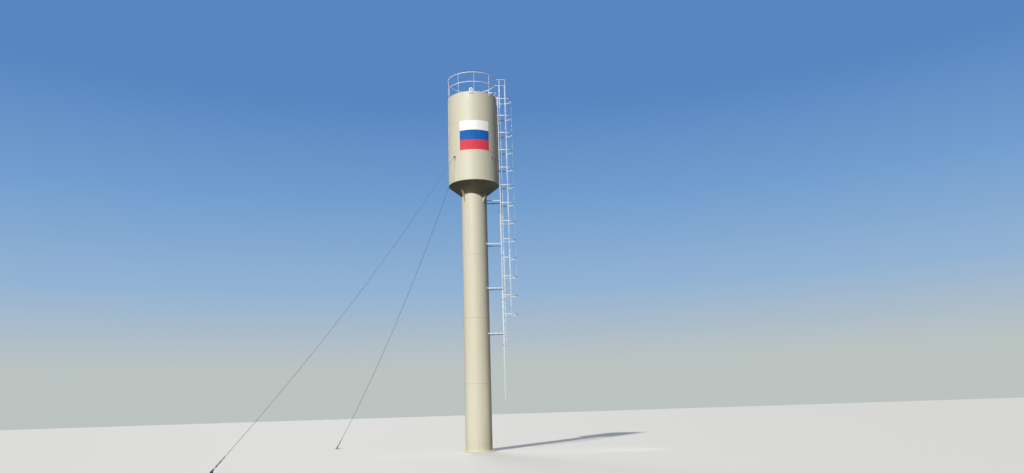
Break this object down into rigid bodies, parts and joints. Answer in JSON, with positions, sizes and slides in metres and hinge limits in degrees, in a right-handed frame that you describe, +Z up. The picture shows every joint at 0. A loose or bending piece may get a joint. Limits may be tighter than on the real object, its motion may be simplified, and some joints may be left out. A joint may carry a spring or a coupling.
{
  "type": "water tower",
  "caption": "Steel water tower: round column flaring into a cylindrical tank, with a caged ladder, a guard rail and two guys.",
  "frame": {"origin": "centre of the base plate's underside, on the tower's axis", "axes": "+Z up along the tower, +X towards the caged ladder, -Y towards the striped front"},
  "size_m": [10.9757, 16.9847, 18.0182],
  "materials": {
    "cream_paint": "semi-gloss cream paint, lightly weathered",
    "white_paint": "semi-gloss white paint",
    "stripe_white": "semi-gloss white paint",
    "stripe_blue": "semi-gloss blue paint",
    "stripe_red": "semi-gloss red paint",
    "guy_steel": "galvanised steel rope and fittings, weathered dark"
  },
  "bodies": {
    "root": {"base_plate": "cream_paint", "cage_section_1": "white_paint", "cage_section_2": "white_paint", "cage_section_3": "white_paint", "cage_section_4": "white_paint", "column_course_1": "cream_paint", "column_course_2": "cream_paint", "column_course_3": "cream_paint", "column_course_4": "cream_paint", "cone_bottom": "cream_paint", "cone_gusset_1": "cream_paint", "cone_gusset_2": "cream_paint", "cone_gusset_3": "cream_paint", "cone_gusset_4": "cream_paint", "guard_rail_back_1": "white_paint", "guard_rail_back_2": "white_paint", "guard_rail_front_1": "white_paint", "guard_rail_front_2": "white_paint", "guy_anchor_back": "guy_steel", "guy_anchor_front": "guy_steel", "guy_lug_1": "cream_paint", "guy_lug_2": "cream_paint", "guy_lug_3": "cream_paint", "guy_lug_4": "cream_paint", "guy_turnbuckle_back": "guy_steel", "guy_turnbuckle_front": "guy_steel", "guy_wire_back": "guy_steel", "guy_wire_front": "guy_steel", "ladder_bracket_1": "white_paint", "ladder_bracket_2": "white_paint", "ladder_bracket_3": "white_paint", "ladder_bracket_4": "white_paint", "ladder_section_1": "white_paint", "ladder_section_2": "white_paint", "ladder_section_3": "white_paint", "lifting_eye_back": "white_paint", "lifting_eye_front": "white_paint", "roof_hatch_collar": "cream_paint", "roof_hatch_lid": "white_paint", "stripe_blue": "stripe_blue", "stripe_red": "stripe_red", "stripe_white": "stripe_white", "tank_course_1": "cream_paint", "tank_course_2": "cream_paint", "tank_course_3": "cream_paint", "tank_roof": "cream_paint"}
  },
  "joints": []
}
